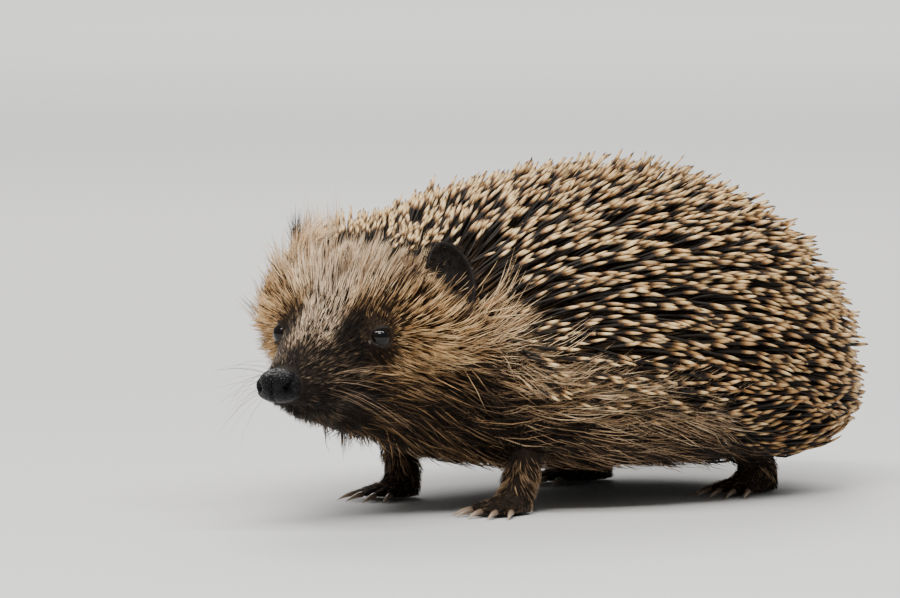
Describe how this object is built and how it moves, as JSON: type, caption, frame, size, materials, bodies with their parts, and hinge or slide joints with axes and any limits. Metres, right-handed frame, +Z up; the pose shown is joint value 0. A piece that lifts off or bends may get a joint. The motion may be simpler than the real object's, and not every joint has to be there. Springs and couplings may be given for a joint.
{
  "type": "hedgehog",
  "caption": "Life-size young European hedgehog standing on four feet, head turned to its left, with a quilled back, furred face and flanks, cupped ears and clawed feet.",
  "frame": {"origin": "on the floor, under the middle of the whole animal's bounding box", "axes": "+Z up, the head towards -X, the animal's left side towards -Y"},
  "size_m": [0.2062, 0.1106, 0.0866],
  "materials": {
    "pelt": "long coarse hair, tan over dark brown",
    "face_fur": "short dense hair, dark brown mask with tan cheeks",
    "quills": "layered quills with cream tips over a blackish band",
    "bare_skin": "thin dark skin with fine down",
    "nose": "moist grained black leather",
    "eye": "wet black gloss",
    "claw": "pale brown horn"
  },
  "bodies": {
    "root": {"rump": "pelt", "loins": "pelt", "shoulders": "pelt", "neck": "pelt", "tail": "pelt", "foreleg_left": "pelt", "foreleg_right": "pelt", "hindleg_left": "pelt", "hindleg_right": "pelt", "head": "face_fur", "snout": "face_fur", "lower_jaw": "face_fur", "mantle_rump": "quills", "mantle_back": "quills", "mantle_crown": "quills", "ear_left": "bare_skin", "ear_right": "bare_skin", "forefoot_left": "bare_skin", "forefoot_right": "bare_skin", "hindfoot_left": "bare_skin", "hindfoot_right": "bare_skin", "nose": "nose", "eye_left": "eye", "eye_right": "eye", "claw_fore_left_1": "claw", "claw_fore_left_2": "claw", "claw_fore_left_3": "claw", "claw_fore_left_4": "claw", "claw_fore_left_5": "claw", "claw_fore_right_1": "claw", "claw_fore_right_2": "claw", "claw_fore_right_3": "claw", "claw_fore_right_4": "claw", "claw_fore_right_5": "claw", "claw_hind_left_1": "claw", "claw_hind_left_2": "claw", "claw_hind_left_3": "claw", "claw_hind_left_4": "claw", "claw_hind_left_5": "claw", "claw_hind_right_1": "claw", "claw_hind_right_2": "claw", "claw_hind_right_3": "claw", "claw_hind_right_4": "claw", "claw_hind_right_5": "claw"}
  },
  "joints": []
}
